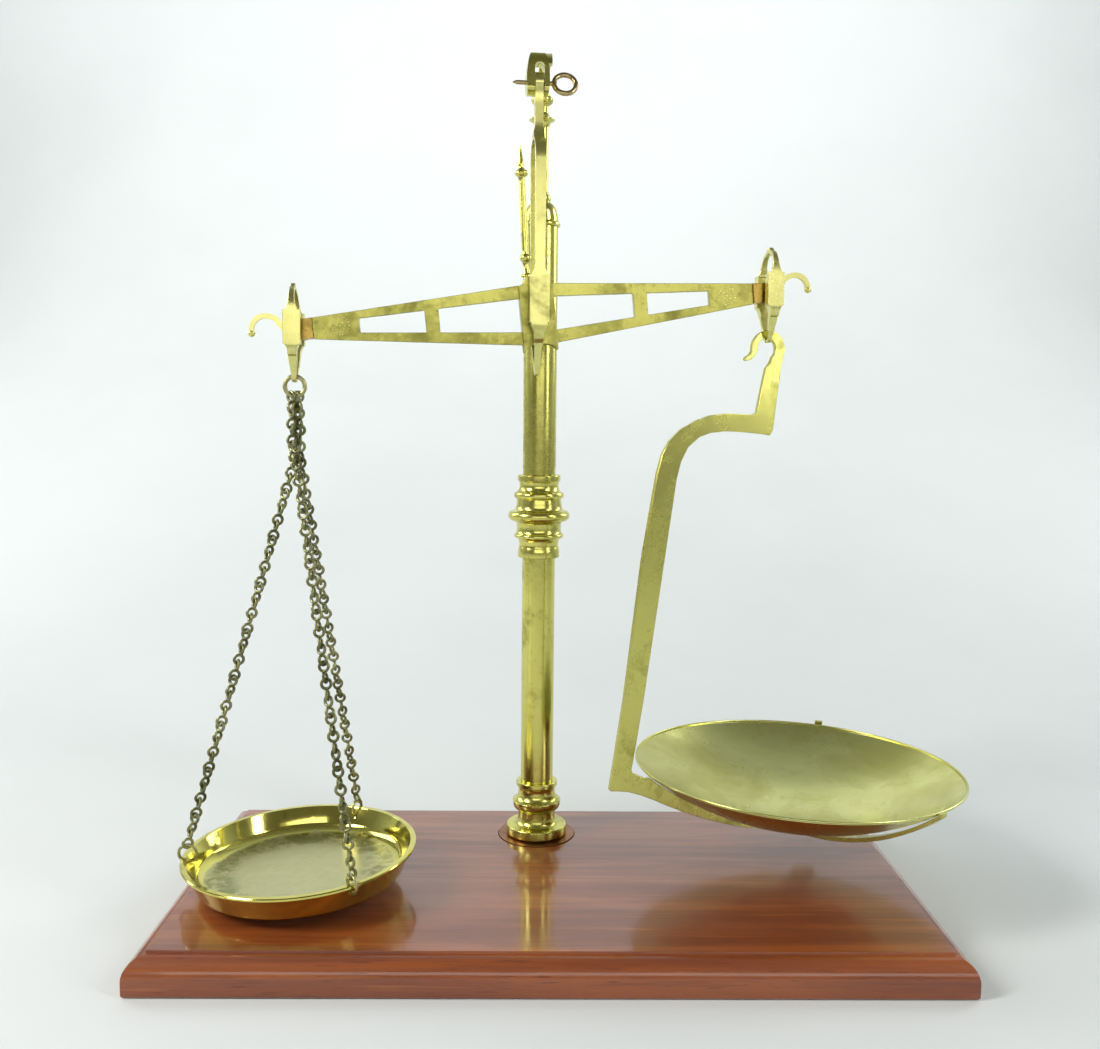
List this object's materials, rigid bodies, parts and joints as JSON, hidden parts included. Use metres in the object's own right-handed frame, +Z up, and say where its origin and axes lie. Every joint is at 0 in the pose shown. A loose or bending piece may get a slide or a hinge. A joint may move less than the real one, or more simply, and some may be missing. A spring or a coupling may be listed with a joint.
{
  "type": "brass counter balance scale",
  "caption": "Beam balance on a moulded wooden board: turned brass pillar, hanging open-work beam on knife edges, a weights pan on chains and a round goods dish on a hooked arm.",
  "frame": {"origin": "centre of the board's flat underside", "axes": "+Z up along the pillar, +X to the right along the board's length, towards the goods dish, +Y to the back"},
  "size_m": [0.4944, 0.2435, 0.5272],
  "materials": {
    "brass": "polished, lightly tarnished",
    "aged_brass": "dull, tarnished",
    "pan_brass": "polished inside, stained",
    "steel": "ground",
    "agate": "polished stone",
    "mahogany": "gloss varnish"
  },
  "bodies": {
    "stand": {"base_board": "mahogany", "foot_plate": "brass", "pillar_foot": "brass", "lower_tube": "brass", "pillar_knop": "brass", "upper_tube": "brass", "tube_cap": "brass", "upper_stem": "brass", "head_bracket": "brass", "tie_rod": "steel", "tie_rod_washer": "steel", "tie_rod_nut": "steel"},
    "ring_pin": {"ring_pin": "aged_brass"},
    "shears": {"shears_head": "brass", "shears_front_leg": "brass", "shears_rear_leg": "brass", "shears_agates": "agate"},
    "beam": {"beam_plate": "brass", "centre_cheek_front": "brass", "centre_cheek_rear": "brass", "centre_knife": "steel", "end_knife_left": "steel", "end_knife_right": "steel", "end_bosses": "brass", "end_curls": "brass", "pointer": "brass"},
    "left_stirrup": {"left_stirrup_front": "brass", "left_stirrup_rear": "brass", "left_stirrup_agates": "agate"},
    "right_stirrup": {"right_stirrup_front": "brass", "right_stirrup_rear": "brass", "right_stirrup_agates": "agate"},
    "top_ring": {"top_ring": "aged_brass"},
    "weights_pan": {"chain_left": "aged_brass", "chain_front": "aged_brass", "chain_back": "aged_brass", "rim_rings": "aged_brass", "weights_pan": "pan_brass"},
    "goods_frame": {"goods_arm": "brass", "spider_hub": "brass", "support_arm_front": "brass", "support_arm_back": "brass"},
    "goods_pan": {"goods_pan": "pan_brass"}
  },
  "joints": [
    {"name": "pin_pull", "type": "slide", "parent": "stand", "child": "ring_pin", "axis": [0.9949, 0.1011, 0], "range_m": [0, 0.03]},
    {"name": "shears_swing", "type": "hinge", "parent": "stand", "child": "shears", "pos_m": [-0.0112, 0, 0.5041], "axis": [0.9949, 0.1011, 0], "range_deg": [-1, 1]},
    {"name": "beam_rock", "type": "hinge", "parent": "shears", "child": "beam", "pos_m": [-0.0112, 0, 0.3721], "axis": [-0.1011, 0.9949, 0], "range_deg": [0, 6]},
    {"name": "left_stirrup_turn", "type": "hinge", "parent": "beam", "child": "left_stirrup", "pos_m": [-0.15399, -0.0145, 0.35815], "axis": [-0.1011, 0.9949, 0], "range_deg": [-6, 0]},
    {"name": "right_stirrup_turn", "type": "hinge", "parent": "beam", "child": "right_stirrup", "pos_m": [0.13159, 0.0145, 0.38605], "axis": [-0.1011, 0.9949, 0], "range_deg": [-6, 0]},
    {"name": "ring_swing", "type": "hinge", "parent": "left_stirrup", "child": "top_ring", "pos_m": [-0.15399, -0.0145, 0.32795], "axis": [-0.1011, 0.9949, 0], "range_deg": [-2, 8]},
    {"name": "pan_swing", "type": "hinge", "parent": "top_ring", "child": "weights_pan", "pos_m": [-0.15399, -0.0145, 0.31905], "axis": [0.9949, 0.1011, 0], "range_deg": [-6, 2]},
    {"name": "goods_swing", "type": "hinge", "parent": "right_stirrup", "child": "goods_frame", "pos_m": [0.13159, 0.0145, 0.35585], "axis": [-0.1011, 0.9949, 0], "range_deg": [-6, 2.5]},
    {"name": "dish_lift", "type": "slide", "parent": "goods_frame", "child": "goods_pan", "axis": [0.1439, 0.0467, 0.9885], "range_m": [0, 0.08]}
  ],
  "couplings": [
    {"joint": "left_stirrup_turn", "follows": "beam_rock", "ratio": -1},
    {"joint": "right_stirrup_turn", "follows": "beam_rock", "ratio": -1}
  ]
}
